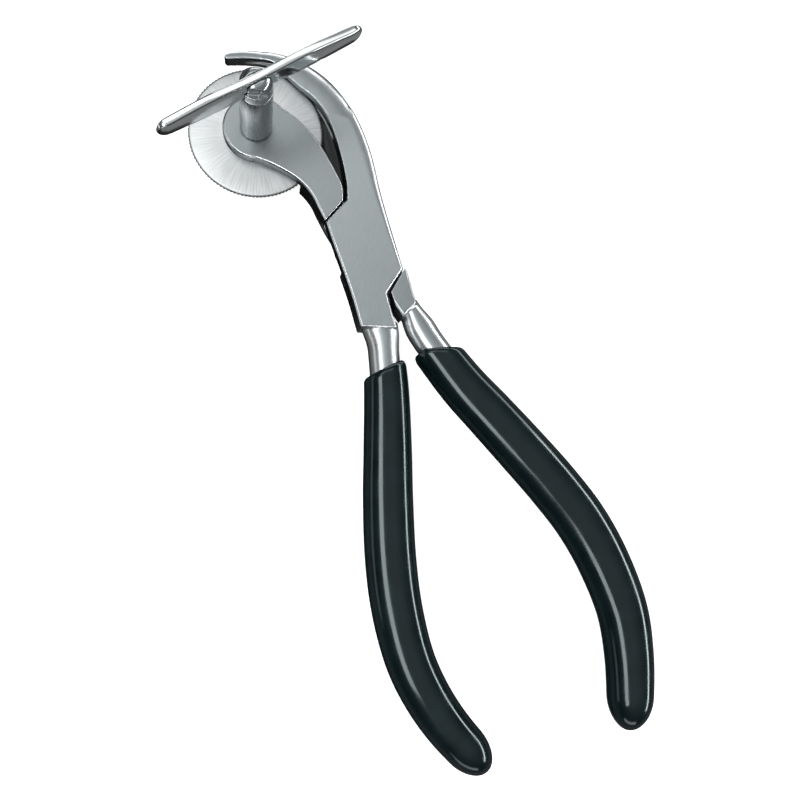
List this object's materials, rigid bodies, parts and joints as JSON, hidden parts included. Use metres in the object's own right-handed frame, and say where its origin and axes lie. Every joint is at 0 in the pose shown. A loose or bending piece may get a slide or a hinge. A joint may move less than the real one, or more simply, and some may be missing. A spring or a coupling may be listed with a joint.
{
  "type": "ring cutting pliers",
  "caption": "Ring cutting pliers with a lap joint, a round saw blade turned by a thumb key, a hooked guard and dipped grips.",
  "frame": {"origin": "centre of the rivet's flush end on the joint's flat back", "axes": "+Z along the rivet and the saw spindle, towards the thumb key; +Y towards the jaws, along the guard lever's straight handle; +X towards the saw lever's handle"},
  "size_m": [0.1091, 0.1592, 0.0327],
  "materials": {
    "satin_steel": "satin ground steel with a fine grain along the lever",
    "polished_steel": "bright polished steel",
    "blade_steel": "hardened saw steel, ground from the centre outwards",
    "bronze": "plain bearing bronze",
    "black_vinyl": "glossy black dipped vinyl"
  },
  "bodies": {
    "guard_lever_body": {"guard_lever": "satin_steel", "joint_rivet": "satin_steel", "guard_lever_grip": "black_vinyl"},
    "saw_lever_body": {"saw_lever": "satin_steel", "saw_lever_grip": "black_vinyl", "spindle_housing": "satin_steel", "lower_bush": "bronze", "upper_bush": "bronze"},
    "saw_body": {"saw_spindle": "polished_steel", "saw_blade": "blade_steel", "drive_pin_1": "polished_steel", "drive_pin_2": "polished_steel", "clamp_washer": "polished_steel", "lock_washer": "polished_steel", "blade_screw": "polished_steel", "thumb_key": "polished_steel", "key_pin": "polished_steel"}
  },
  "joints": [
    {"name": "lever_pivot", "type": "hinge", "parent": "guard_lever_body", "child": "saw_lever_body", "pos_m": [0, 0, 0.004], "axis": [0, 0, 1], "range_deg": [-2.5, 25]},
    {"name": "saw_spin", "type": "hinge", "parent": "saw_lever_body", "child": "saw_body", "pos_m": [-0.0245, 0.0258, 0.0043], "axis": [0, 0, 1], "continuous": true}
  ]
}
